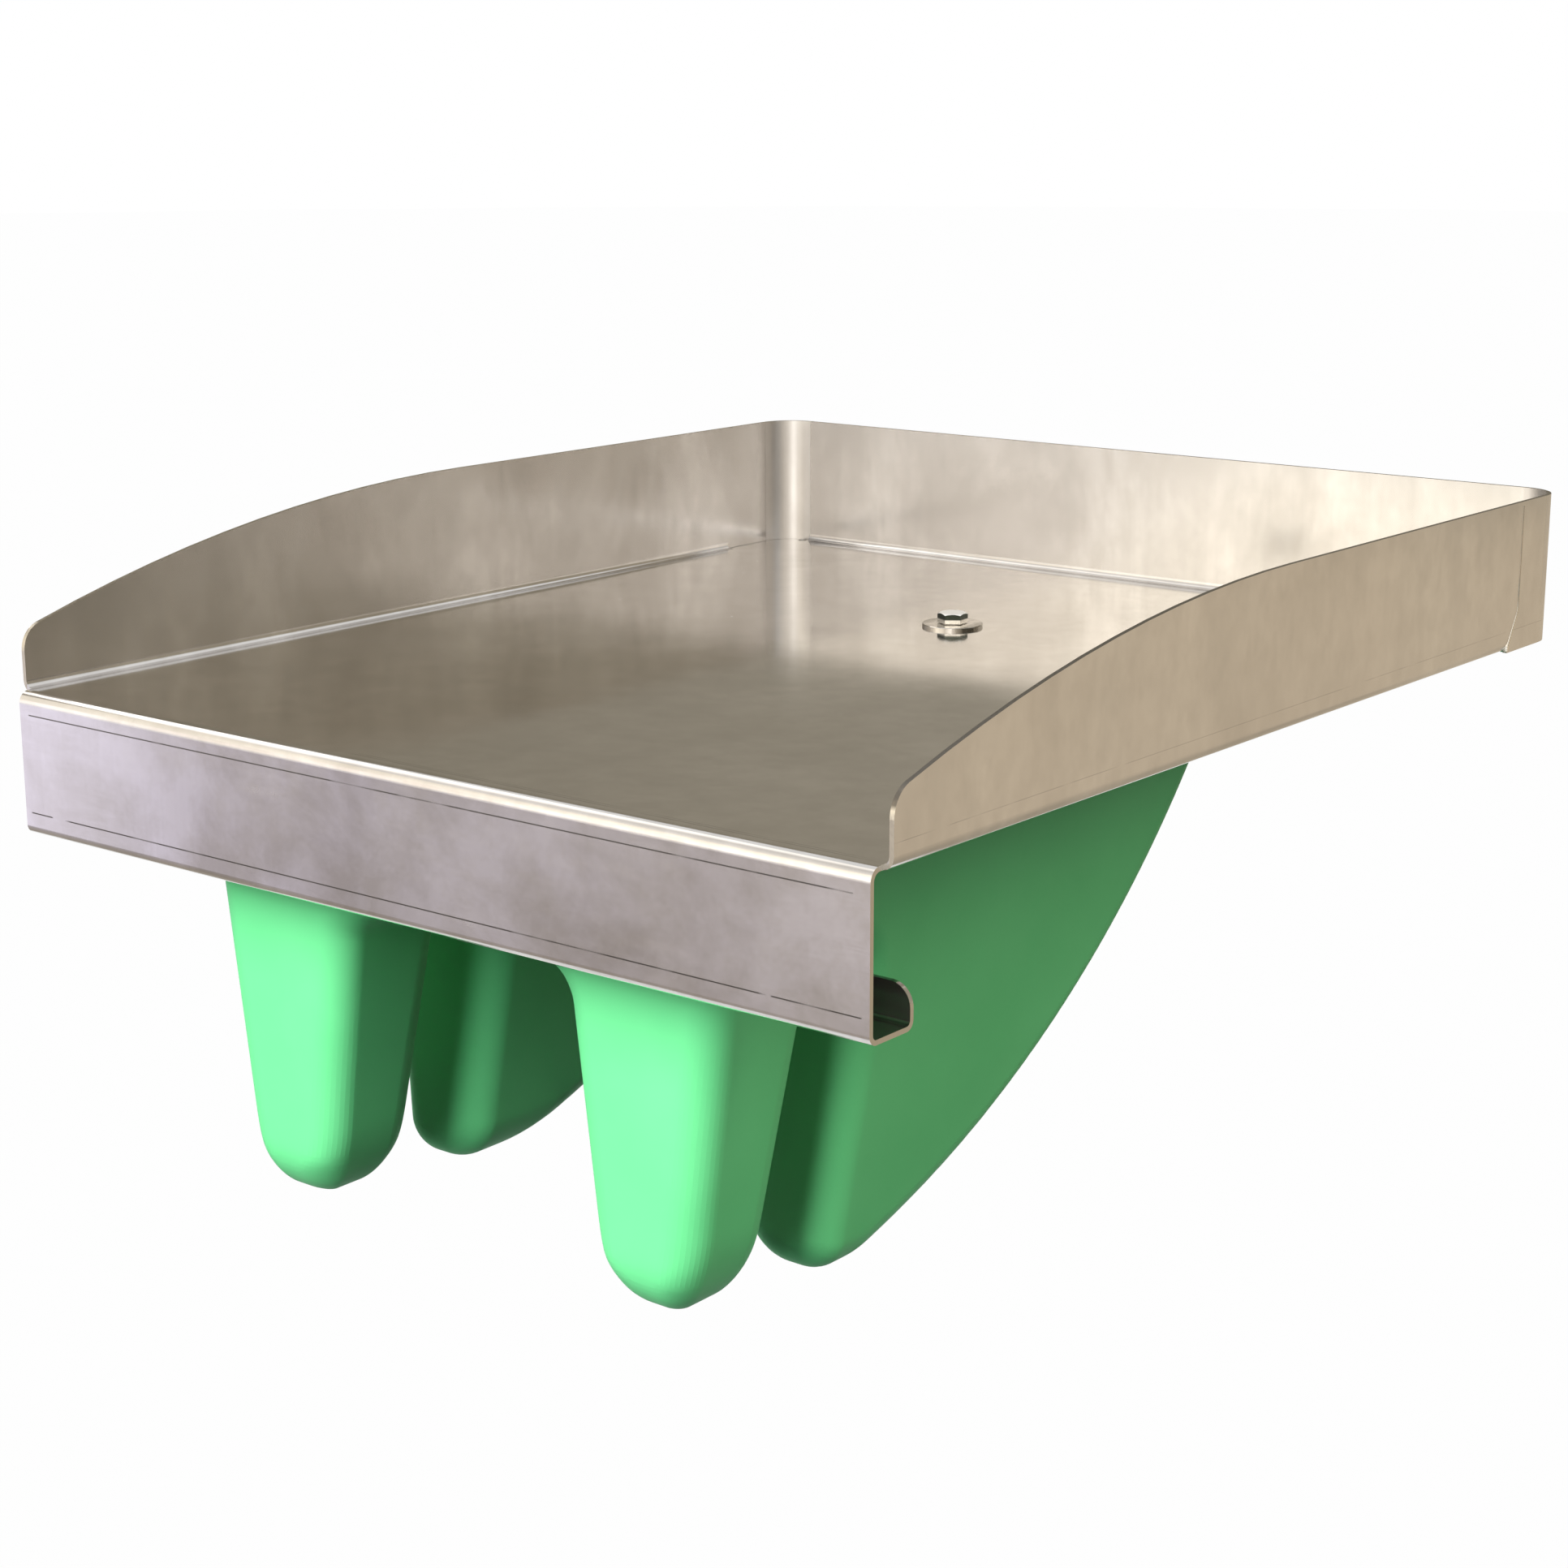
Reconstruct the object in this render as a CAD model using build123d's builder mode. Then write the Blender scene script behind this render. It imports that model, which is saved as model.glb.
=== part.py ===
"""Bolt-on stainless tray with a dripping apron, on a moulded saddle foot.

Axes: X across the tray, +Y towards its back wall, +Z up.
Origin: the middle of the crossing of the saddle's two slots, level with the
roof of the long one.  All sizes are in millimetres.
"""

import math
import os

from build123d import *

os.makedirs("parts", exist_ok=True)

# ---------------------------------------------------------------- tray sheet
SHEET = 2.0                # stainless sheet thickness
TRAY_WIDTH = 480.0         # over the side walls
TRAY_LENGTH = 550.0        # apron's outer face to the back wall's outer face
WALL_HEIGHT = 69.0         # wall top above the floor's top face
FLOOR_BEND = 3.5           # inner radius of the floor bends
CORNER_RADIUS = 20.0       # outer radius of the two rear corners
WALL_SETBACK = 6.7         # side wall's front edge behind the apron's face
TOE_RADIUS = 12.5          # rounded top of that edge
SWEEP_RADIUS = 904.0       # long curve of the wall's top edge
SWEEP_END = 283.0          # apron's face to where the top edge turns level

# ------------------------------------------------------- apron and its J hem
APRON_INSET = 5.0          # apron's ends stop short of the walls' outer faces
APRON_DROP = 64.8          # floor's top face down to the hem's underside
HEM_DEPTH = 26.0           # over the hem, front to back
HEM_RETURN = 17.1          # height of the hem's upturned flange
HEM_BEND = 2.0             # inner radius of the hem's two bends
HEM_END_RADIUS = 9.0       # rounded top corners of the upturned flange

# -------------------------------------------------------- welded rear corners
TAB_UPPER = 46.0           # the back wall's wrap along the side, above its jog
TAB_LOWER = 55.0           # the same, below the jog
JOG_LOW = 1.5              # the seam's slanted part starts this far up
JOG_HIGH = 16.7            # and ends here, both above the floor
SEAM_GAP = 1.6             # seam between wall and wrap, filled by the weld
RELIEF_HOLE = 5.0          # relief at each end of the back bend
CORNER_SLIT = 0.4          # floor's free corner to the inside of the wrap

# ------------------------------------------------------------ saddle moulding
DECK_HEIGHT = 76.0         # long slot's roof up to the deck under the tray
LIMB_WIDTH = 82.2          # each side's width at the long slot's roof
SIDE_DRAFT = 7.6           # outer sides, degrees from upright
LEG_LENGTH = 136.5         # long slot's roof down to the front feet
FIN_LENGTH = 146.3         # long slot's roof down to the rear fins' tips
FOOT_OUTER_RADIUS = 18.0   # feet's outer lower corners, seen from the front
FOOT_INNER_RADIUS = 25.0   # and their inner ones
LONG_SLOT = 121.4          # long slot's width at its roof
LONG_SLOT_DRAFT = 7.2      # its walls, degrees from upright
CROSS_SLOT = 33.0          # cross slot's width at its roof
CROSS_SLOT_RISE = 6.0      # its roof above the long slot's
LEG_REAR_DRAFT = 7.0       # cross slot's front wall, degrees from upright
FIN_FRONT_RAKE = 4.0       # its rear wall leans forward, degrees
ROOF_RADIUS = 16.0         # inside corners of the long slot's roof
CROSS_ROOF_FLAT = 2.7      # level strip between those of the cross slot's roof
CROSSING_REACH = 109.0     # apron's face to the middle of the crossing
HEM_CLEARANCE = 0.3        # hem's flange to the saddle's front face
STERN_RADIUS = 375.0       # curve of the rear, seen from the side
STERN_TOE = 7.0            # its lower end, below the fins' tips
STERN_CROWN = 600.0        # curve of the rear, seen from above
STERN_MARGIN = 28.0        # bolt's axis to the rear end of the deck
EDGE_RADIUS = 15.0         # moulded rounding of the outer edges
DECK_EDGE_RADIUS = 4.0     # rounding round the deck

# ------------------------------------------------------------------ fastening
BOLT_REACH = 381.0         # apron's face to the bolt's axis
BOLT_DIAMETER = 8.0
BOLT_LENGTH = 25.0         # under the head
BOLT_TIP = 1.0             # chamfer at its end
BOLT_HEAD_AF = 13.0        # across flats
BOLT_HEAD_HEIGHT = 5.3
WASHER_DIAMETER = 30.0
WASHER_BORE = 8.4
WASHER_THICKNESS = 1.5
WASHER_RIM = 0.25          # its rolled-over upper rim
TRAY_HOLE = 9.0
INSERT_DIAMETER = 16.0
INSERT_LENGTH = 28.0
INSERT_FLOOR = 4.0         # closed end under its bore
GROOVE_DEPTH = 1.2         # groove that keys it in the moulding
GROOVE_WIDTH = 6.0
THREAD_CLEARANCE = 0.1     # between the bolt and the insert, on the radius
SEAT_CLEARANCE = 0.05      # between the insert and the moulding


def slope(angle):
    """Sideways run per unit of height of a face drafted by this angle."""
    return math.tan(math.radians(angle))


def tilt(angle):
    """Unit factor along a face's normal for the same draft."""
    return math.cos(math.radians(angle))


# --------------------------------------------------------------- derived places
DECK_Z = DECK_HEIGHT
FLOOR_Z = DECK_Z + SHEET
TOP_Z = FLOOR_Z + WALL_HEIGHT
HEM_Z = FLOOR_Z - APRON_DROP
APRON_Y = -CROSSING_REACH
BACK_Y = APRON_Y + TRAY_LENGTH
WALL_FRONT_Y = APRON_Y + WALL_SETBACK
BOLT_Y = APRON_Y + BOLT_REACH
SADDLE_FRONT_Y = APRON_Y + HEM_DEPTH + HEM_CLEARANCE
STERN_Y = BOLT_Y + STERN_MARGIN
HALF_WIDTH = TRAY_WIDTH / 2
MID = SHEET / 2            # sheet's middle, which the folded profiles follow
BEND_OUTER = FLOOR_BEND + SHEET
HEM_OUTER = HEM_BEND + SHEET
SEAM_UPPER_Y = BACK_Y - TAB_UPPER
SEAM_LOWER_Y = BACK_Y - TAB_LOWER
BEND_END_X = HALF_WIDTH - CORNER_RADIUS
OVER = 10.0                # how far cutting shapes run past the material

# ============================================================ tray, one sheet
# Only the +X half is drawn; the other half is its mirror image.
with BuildPart() as tray:
    # Floor and side wall, folded as one channel up to the seam.
    with BuildSketch(Plane.XZ.offset(-WALL_FRONT_Y)) as channel:
        with BuildLine():
            FilletPolyline(
                (0, DECK_Z + MID),
                (HALF_WIDTH - MID, DECK_Z + MID),
                (HALF_WIDTH - MID, TOP_Z),
                radius=BEND_OUTER - MID,
            )
        trace(line_width=SHEET)
    extrude(amount=WALL_FRONT_Y - SEAM_UPPER_Y)

    # Side view: upright toe, long sweep, level top, and the seam's jog.
    with BuildSketch(Plane.YZ) as side_view:
        sweep_y = APRON_Y + SWEEP_END
        sweep_z = TOP_Z - SWEEP_RADIUS
        toe_z = sweep_z + math.sqrt(SWEEP_RADIUS**2 - (sweep_y - WALL_FRONT_Y) ** 2)
        with BuildLine():
            RadiusArc((WALL_FRONT_Y, toe_z), (sweep_y, TOP_Z), SWEEP_RADIUS)
            Polyline(
                (sweep_y, TOP_Z),
                (SEAM_UPPER_Y, TOP_Z),
                (SEAM_UPPER_Y, FLOOR_Z + JOG_HIGH),
                (SEAM_LOWER_Y, FLOOR_Z + JOG_LOW),
                (SEAM_LOWER_Y, DECK_Z - OVER),
                (WALL_FRONT_Y, DECK_Z - OVER),
                (WALL_FRONT_Y, toe_z),
            )
        make_face()
        toe = side_view.vertices().sort_by(Axis.X).filter_by_position(Axis.Y, toe_z - 1, toe_z + 1)
        fillet(toe[0], TOE_RADIUS)
    extrude(amount=HALF_WIDTH + OVER, mode=Mode.INTERSECT)

    # Floor: a plain plate, with its free rear corner inside the wrap.
    free_x = HALF_WIDTH - SHEET - CORNER_SLIT
    free_y = BACK_Y - SHEET - CORNER_SLIT
    with BuildSketch(Plane.XY.offset(DECK_Z)) as floor_plan:
        with BuildLine():
            FilletPolyline(
                (0, free_y),
                (free_x, free_y),
                (free_x, SEAM_LOWER_Y),
                radius=CORNER_RADIUS - SHEET - CORNER_SLIT,
            )
            Polyline(
                (free_x, SEAM_LOWER_Y),
                (HALF_WIDTH - BEND_OUTER, SEAM_LOWER_Y),
                (HALF_WIDTH - BEND_OUTER, APRON_Y + BEND_OUTER),
                (0, APRON_Y + BEND_OUTER),
                (0, free_y),
            )
        make_face()
        with Locations((0, BACK_Y)):
            Rectangle(2 * BEND_END_X, 2 * BEND_OUTER, mode=Mode.SUBTRACT)
    extrude(amount=SHEET)

    # Back wall, bent up from the floor between the two relief holes.
    with BuildSketch(Plane.YZ) as back_bend:
        with BuildLine():
            FilletPolyline(
                (BACK_Y - TAB_LOWER, DECK_Z + MID),
                (BACK_Y - MID, DECK_Z + MID),
                (BACK_Y - MID, TOP_Z),
                radius=BEND_OUTER - MID,
            )
        trace(line_width=SHEET)
    extrude(amount=BEND_END_X)

    # Its end turned forward round the corner, down to the floor's underside.
    with BuildSketch(Plane.XY.offset(DECK_Z)) as wrap:
        with BuildLine():
            turn_start = (HALF_WIDTH - MID, BACK_Y - CORNER_RADIUS)
            Line((HALF_WIDTH - MID, SEAM_LOWER_Y), turn_start)
            RadiusArc(turn_start, (BEND_END_X, BACK_Y - MID), MID - CORNER_RADIUS)
        trace(line_width=SHEET)
    extrude(amount=TOP_Z - DECK_Z)

    # Apron: bent down at the front edge, its lower edge turned up in a J hem.
    with BuildSketch(Plane.YZ) as apron:
        with BuildLine():
            FilletPolyline(
                (APRON_Y + BEND_OUTER + OVER, FLOOR_Z - MID),
                (APRON_Y + MID, FLOOR_Z - MID),
                (APRON_Y + MID, HEM_Z + MID),
                (APRON_Y + HEM_DEPTH - MID, HEM_Z + MID),
                (APRON_Y + HEM_DEPTH - MID, HEM_Z + HEM_RETURN),
                radius=[BEND_OUTER - MID, HEM_OUTER - MID, HEM_OUTER - MID],
            )
        trace(line_width=SHEET)
    extrude(amount=HALF_WIDTH - APRON_INSET)
    hem_top = tray.edges().filter_by(Axis.Y).filter_by_position(
        Axis.Z, HEM_Z + HEM_RETURN - 1, HEM_Z + HEM_RETURN + 1
    )
    fillet(hem_top.sort_by(Axis.X)[-1], HEM_END_RADIUS)

    # Slit along the corner seam, and the relief at the end of the back bend.
    with BuildSketch(Plane.YZ.offset(HALF_WIDTH - BEND_OUTER)) as seam_slit:
        with BuildLine():
            seam_path = Polyline(
                (SEAM_UPPER_Y, TOP_Z + OVER),
                (SEAM_UPPER_Y, FLOOR_Z + JOG_HIGH),
                (SEAM_LOWER_Y, FLOOR_Z + JOG_LOW),
                (SEAM_LOWER_Y, DECK_Z - OVER),
            )
        trace(line_width=SEAM_GAP)
    extrude(amount=BEND_OUTER + OVER, mode=Mode.SUBTRACT)
    with Locations((BEND_END_X + RELIEF_HOLE / 2, BACK_Y - BEND_OUTER, FLOOR_Z)):
        Hole(RELIEF_HOLE / 2, depth=SHEET + OVER)

    mirror(about=Plane.YZ)
    with Locations((0, BOLT_Y, FLOOR_Z)):
        Hole(TRAY_HOLE / 2, depth=SHEET + OVER)

# Flush weld that closes the seam through the sheet's thickness.
with BuildPart() as corner_weld_right:
    with BuildSketch(Plane.YZ.offset(HALF_WIDTH - SHEET)) as weld_face:
        with BuildLine():
            Polyline(
                (SEAM_UPPER_Y, TOP_Z + OVER),
                (SEAM_UPPER_Y, FLOOR_Z + JOG_HIGH),
                (SEAM_LOWER_Y, FLOOR_Z + JOG_LOW),
                (SEAM_LOWER_Y, DECK_Z - OVER),
            )
        trace(line_width=SEAM_GAP)
        with Locations(((SEAM_UPPER_Y + SEAM_LOWER_Y) / 2, (TOP_Z + DECK_Z) / 2)):
            Rectangle(TAB_LOWER, TOP_Z - DECK_Z, mode=Mode.INTERSECT)
    extrude(amount=SHEET)

with BuildPart() as corner_weld_left:
    add(corner_weld_right.part)
    mirror(about=Plane.YZ)
    split(bisect_by=Plane.YZ, keep=Keep.BOTTOM)

# ============================================================ saddle moulding
DECK_SIDE_X = LONG_SLOT / 2 + LIMB_WIDTH + slope(SIDE_DRAFT) * DECK_Z


def side_x(z):
    """Outer side of the saddle at a height."""
    return DECK_SIDE_X - slope(SIDE_DRAFT) * (DECK_Z - z)


def wall_x(z):
    """Long slot's wall at a height below its roof."""
    return LONG_SLOT / 2 - slope(LONG_SLOT_DRAFT) * z


def half_front_view(length):
    """Front view of one half: deck, a drafted limb with a rounded foot, slot."""
    with BuildSketch() as view:
        with BuildLine():
            Polyline(
                (0, 0),
                (0, DECK_Z),
                (DECK_SIDE_X, DECK_Z),
                (side_x(-length), -length),
                (wall_x(-length), -length),
                (LONG_SLOT / 2, 0),
                close=True,
            )
        make_face()
        fillet(view.vertices().group_by(Axis.Y)[0].sort_by(Axis.X)[0], FOOT_INNER_RADIUS)
        fillet(view.vertices().group_by(Axis.Y)[0].sort_by(Axis.X)[-1], FOOT_OUTER_RADIUS)
        roof = view.vertices().filter_by_position(Axis.Y, -1, 1).sort_by(Axis.X)
        fillet(roof[-1], ROOF_RADIUS)
    return view.sketch


def bolt_section(z):
    """Upright plane through the bolt's axis, with its origin at a height."""
    return Plane(origin=(0, BOLT_Y, z), x_dir=(1, 0, 0), z_dir=(0, -1, 0))


def insert_profile(gap):
    """Half section of the threaded insert's outside, grown by a gap."""
    radius = INSERT_DIAMETER / 2 + gap
    waist = radius - GROOVE_DEPTH
    low = -INSERT_LENGTH / 2 - GROOVE_WIDTH / 2
    high = low + GROOVE_WIDTH
    with BuildSketch() as half:
        with BuildLine():
            Polyline(
                (0, 0),
                (radius, 0),
                (radius, high + gap),
                (waist, high - GROOVE_DEPTH + gap),
                (waist, low + GROOVE_DEPTH - gap),
                (radius, low - gap),
                (radius, -INSERT_LENGTH - gap),
                (0, -INSERT_LENGTH - gap),
                close=True,
            )
        make_face()
    return half.sketch


with BuildPart() as saddle:
    # Rear fins and their deck, ended by the crowned, curved stern.
    with BuildSketch(Plane.XZ) as fins_view:
        add(half_front_view(FIN_LENGTH))
        mirror(about=Plane.YZ)
    extrude(amount=-STERN_Y - OVER)
    with BuildSketch(Plane.YZ) as stern_view:
        crown_y = STERN_Y - STERN_CROWN
        toe_point = (CROSS_SLOT / 2, -FIN_LENGTH - STERN_TOE)
        with BuildLine():
            RadiusArc((STERN_Y, DECK_Z), toe_point, STERN_RADIUS)
            Polyline(
                toe_point,
                (crown_y, toe_point[1]),
                (crown_y, DECK_Z),
                (STERN_Y, DECK_Z),
            )
        make_face()
    revolve(axis=Axis((0, crown_y, 0), (0, 0, 1)), mode=Mode.INTERSECT)

    # Front legs, flush with the fins' sides.
    with BuildSketch(Plane.XZ.offset(-SADDLE_FRONT_Y)) as legs_view:
        add(half_front_view(LEG_LENGTH))
        mirror(about=Plane.YZ)
    extrude(amount=SADDLE_FRONT_Y)

    # Cross slot between legs and fins.
    with BuildSketch(Plane.YZ) as cross_view:
        reach = FIN_LENGTH + STERN_TOE + OVER
        with BuildLine():
            Polyline(
                (-CROSS_SLOT / 2, CROSS_SLOT_RISE),
                (CROSS_SLOT / 2, CROSS_SLOT_RISE),
                (CROSS_SLOT / 2 - slope(FIN_FRONT_RAKE) * reach, -reach),
                (-CROSS_SLOT / 2 - slope(LEG_REAR_DRAFT) * reach, -reach),
                close=True,
            )
        make_face()
        front_share = 1 / tilt(LEG_REAR_DRAFT) - slope(LEG_REAR_DRAFT)
        rear_share = 1 / tilt(FIN_FRONT_RAKE) + slope(FIN_FRONT_RAKE)
        cross_roof_radius = (CROSS_SLOT - CROSS_ROOF_FLAT) / (front_share + rear_share)
        fillet(cross_view.vertices().group_by(Axis.Y)[-1], cross_roof_radius)
    extrude(amount=DECK_SIDE_X + OVER, both=True, mode=Mode.SUBTRACT)

    # Moulded roundings, each chain run right round from one rounded foot edge.
    toe_edges = saddle.edges().filter_by(Axis.X).filter_by_position(
        Axis.Z, -LEG_LENGTH - 0.1, -LEG_LENGTH + 0.1
    )
    fillet(toe_edges.group_by(Axis.Y)[0], EDGE_RADIUS)
    rear_feet = saddle.edges().filter_by(GeomType.ELLIPSE).group_by(Axis.Z)[0]
    fillet(rear_feet, EDGE_RADIUS)
    stern_edges = saddle.edges().filter_by(GeomType.BSPLINE).sort_by(Edge.length)
    fillet(stern_edges[-2:], EDGE_RADIUS)
    deck = saddle.faces().sort_by(Axis.Z)[-1]
    fillet(deck.outer_wire().edges(), DECK_EDGE_RADIUS)

    # Pocket that grips the threaded insert.
    with BuildSketch(bolt_section(DECK_Z)) as pocket:
        add(insert_profile(SEAT_CLEARANCE))
    revolve(axis=Axis((0, BOLT_Y, 0), (0, 0, 1)), mode=Mode.SUBTRACT)

# ================================================================== fastening
with BuildPart() as insert:
    with BuildSketch(bolt_section(DECK_Z)):
        add(insert_profile(0))
    revolve(axis=Axis((0, BOLT_Y, 0), (0, 0, 1)))
    with Locations((0, BOLT_Y, DECK_Z)):
        Hole(BOLT_DIAMETER / 2 + THREAD_CLEARANCE, depth=INSERT_LENGTH - INSERT_FLOOR)

with BuildPart() as washer:
    with BuildSketch(Plane.XY.offset(FLOOR_Z)):
        with Locations((0, BOLT_Y)):
            Circle(WASHER_DIAMETER / 2)
            Circle(WASHER_BORE / 2, mode=Mode.SUBTRACT)
    extrude(amount=WASHER_THICKNESS)
    rim = washer.edges().group_by(Axis.Z)[-1].sort_by(Edge.length)[-1]
    chamfer(rim, WASHER_RIM)

HEAD_Z = FLOOR_Z + WASHER_THICKNESS
with BuildPart() as bolt:
    with BuildSketch(Plane.XY.offset(HEAD_Z)):
        with Locations((0, BOLT_Y)):
            RegularPolygon(BOLT_HEAD_AF / 2, 6, major_radius=False)
    extrude(amount=BOLT_HEAD_HEIGHT)
    # The head's corners are turned off at thirty degrees.
    corner = BOLT_HEAD_AF / math.sqrt(3)
    flat = BOLT_HEAD_AF / 2 * 0.95
    with BuildSketch(bolt_section(HEAD_Z)):
        with BuildLine():
            Polyline(
                (0, 0),
                (corner + 1, 0),
                (corner + 1, BOLT_HEAD_HEIGHT - (corner + 1 - flat) * slope(30)),
                (flat, BOLT_HEAD_HEIGHT),
                (0, BOLT_HEAD_HEIGHT),
                close=True,
            )
        make_face()
    revolve(axis=Axis((0, BOLT_Y, 0), (0, 0, 1)), mode=Mode.INTERSECT)
    with BuildSketch(Plane.XY.offset(HEAD_Z)):
        with Locations((0, BOLT_Y)):
            Circle(BOLT_DIAMETER / 2)
    extrude(amount=-BOLT_LENGTH)
    chamfer(bolt.edges().group_by(Axis.Z)[0], BOLT_TIP)

# ====================================================================== export
tray.part.label = "tray_sheet"
export_step(tray.part, "parts/tray_sheet.step")
corner_weld_left.part.label = "corner_weld_left"
export_step(corner_weld_left.part, "parts/corner_weld_left.step")
corner_weld_right.part.label = "corner_weld_right"
export_step(corner_weld_right.part, "parts/corner_weld_right.step")
saddle.part.label = "saddle_moulding"
export_step(saddle.part, "parts/saddle_moulding.step")
insert.part.label = "threaded_insert"
export_step(insert.part, "parts/threaded_insert.step")
washer.part.label = "penny_washer"
export_step(washer.part, "parts/penny_washer.step")
bolt.part.label = "hex_bolt"
export_step(bolt.part, "parts/hex_bolt.step")
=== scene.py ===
"""Studio model of a folded stainless tray, bolted on a green moulded saddle."""

import math

import bmesh
import bpy
from mathutils import Euler, Matrix, Vector


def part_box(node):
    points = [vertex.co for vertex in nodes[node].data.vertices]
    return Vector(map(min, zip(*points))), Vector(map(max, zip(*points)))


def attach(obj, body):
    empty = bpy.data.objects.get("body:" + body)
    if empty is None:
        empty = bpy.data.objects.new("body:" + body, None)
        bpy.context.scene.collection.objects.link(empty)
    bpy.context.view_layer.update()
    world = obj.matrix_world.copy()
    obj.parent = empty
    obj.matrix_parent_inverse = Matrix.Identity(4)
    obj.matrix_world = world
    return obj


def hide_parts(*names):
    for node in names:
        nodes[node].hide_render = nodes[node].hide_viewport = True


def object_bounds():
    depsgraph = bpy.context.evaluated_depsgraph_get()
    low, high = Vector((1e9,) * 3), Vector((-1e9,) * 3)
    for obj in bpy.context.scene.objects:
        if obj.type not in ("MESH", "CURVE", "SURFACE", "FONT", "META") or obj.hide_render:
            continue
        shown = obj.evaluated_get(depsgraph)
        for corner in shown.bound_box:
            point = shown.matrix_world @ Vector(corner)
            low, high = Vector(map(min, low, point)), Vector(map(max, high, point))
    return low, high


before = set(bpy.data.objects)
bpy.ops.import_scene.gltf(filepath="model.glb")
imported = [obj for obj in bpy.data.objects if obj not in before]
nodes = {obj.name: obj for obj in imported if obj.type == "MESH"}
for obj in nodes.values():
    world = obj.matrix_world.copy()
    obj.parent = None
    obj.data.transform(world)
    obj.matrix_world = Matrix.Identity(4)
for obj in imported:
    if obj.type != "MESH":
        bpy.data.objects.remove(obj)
cad_box = [[float(value) for value in corner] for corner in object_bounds()]

# ---------------------------------------------------------------------------
# Camera: stands in front of the open end, to the right, some 20 cm above the
# tray's rim, and looks down along the floor to the far left corner.
# ---------------------------------------------------------------------------
CAMERA_PLACE = (0.802219, -0.868609, 0.343463)
CAMERA_PITCH, CAMERA_ROLL, CAMERA_TURN = 76.05143598, 0.07876453, 38.51999262
camera_data = bpy.data.cameras.new("studio_camera")
camera_data.sensor_fit = "HORIZONTAL"
camera_data.sensor_width = 36.0
camera_data.lens = 65.8986
camera_data.clip_start = 0.05
camera_data.clip_end = 60.0
camera = bpy.data.objects.new("studio_camera", camera_data)
aim = Euler([math.radians(angle) for angle in (CAMERA_PITCH, CAMERA_ROLL, CAMERA_TURN)])
camera.matrix_world = Matrix.LocRotScale(Vector(CAMERA_PLACE), aim, None)
bpy.context.collection.objects.link(camera)
bpy.context.scene.camera = camera
bpy.context.scene.view_settings.view_transform = "Standard"


# ---------------------------------------------------------------------------
# Studio: a white paper floor turned up at its rim, a white surround, soft
# boxes in front, at the right and behind, and toned cards all round for the
# sheet to mirror.
# ---------------------------------------------------------------------------
def linear(hex_colour):
    """Turns an sRGB hex colour into the linear RGBA that the nodes work in."""
    channels = [int(hex_colour[i : i + 2], 16) / 255 for i in (0, 2, 4)]
    return tuple(
        c / 12.92 if c <= 0.04045 else ((c + 0.055) / 1.055) ** 2.4 for c in channels
    ) + (1.0,)


def add_node(tree, kind, inputs=None, **settings):
    """Adds a node; an input is a value, a hex colour, or a node or socket to link."""
    made = tree.nodes.new(kind)
    for name, value in settings.items():
        setattr(made, name, value)
    for key, value in (inputs or {}).items():
        if isinstance(value, bpy.types.Node):
            value = value.outputs[0]
        if isinstance(value, bpy.types.NodeSocket):
            tree.links.new(value, made.inputs[key])
        elif isinstance(value, str) and made.inputs[key].type == "RGBA":
            made.inputs[key].default_value = linear(value)
        else:
            made.inputs[key].default_value = value
    return made


def chain(tree, operation, result, *others):
    """Works several values together by one operation, from left to right."""
    for other in others:
        result = add_node(tree, "ShaderNodeMath", {0: result, 1: other}, operation=operation)
    return result


def seen_directly(tree):
    """One where the eye, a mirror or glass looks, nought for scattered light."""
    path = add_node(tree, "ShaderNodeLightPath").outputs
    rays = [path[f"Is {ray} Ray"] for ray in ("Camera", "Glossy", "Transmission")]
    return chain(tree, "MAXIMUM", *rays)


def new_material(name):
    """Starts an empty node material."""
    material = bpy.data.materials.new(name)
    material.use_nodes = True
    material.node_tree.nodes.clear()
    return material, material.node_tree


def mesh_object(name, vertices, faces, material):
    """Makes a mesh object whose place is in its mesh."""
    mesh = bpy.data.meshes.new(name)
    mesh.from_pydata(vertices, [], faces)
    mesh.materials.append(material)
    made = bpy.data.objects.new(name, mesh)
    bpy.context.collection.objects.link(made)
    return made


world = bpy.data.worlds.new("white_surround")
world.use_nodes = True
tree = world.node_tree
tree.nodes.clear()
fill = add_node(tree, "ShaderNodeBackground", {"Color": "C9C6C4", "Strength": 0.006})
white = add_node(tree, "ShaderNodeBackground", {"Color": "FFFFFF", "Strength": 1.0})
mixed = add_node(tree, "ShaderNodeMixShader", {0: seen_directly(tree), 1: fill, 2: white})
add_node(tree, "ShaderNodeOutputWorld", {"Surface": mixed})
bpy.context.scene.world = world

# The paper glows white where it is seen, and what is left of its own shade
# keeps the object's shadow on it.
FLOOR_Z = cad_box[0][2] - 0.25
GLOW_SHARE = 0.99
paper, tree = new_material("white_studio_paper")
share = chain(tree, "MULTIPLY", seen_directly(tree), GLOW_SHARE)
matt = add_node(tree, "ShaderNodeBsdfDiffuse", {"Color": "201F1F"})
glow = add_node(tree, "ShaderNodeEmission", {"Color": "FFFFFF", "Strength": 1.0})
mixed = add_node(tree, "ShaderNodeMixShader", {0: share, 1: matt, 2: glow})
add_node(tree, "ShaderNodeOutputMaterial", {"Surface": mixed})

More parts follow.
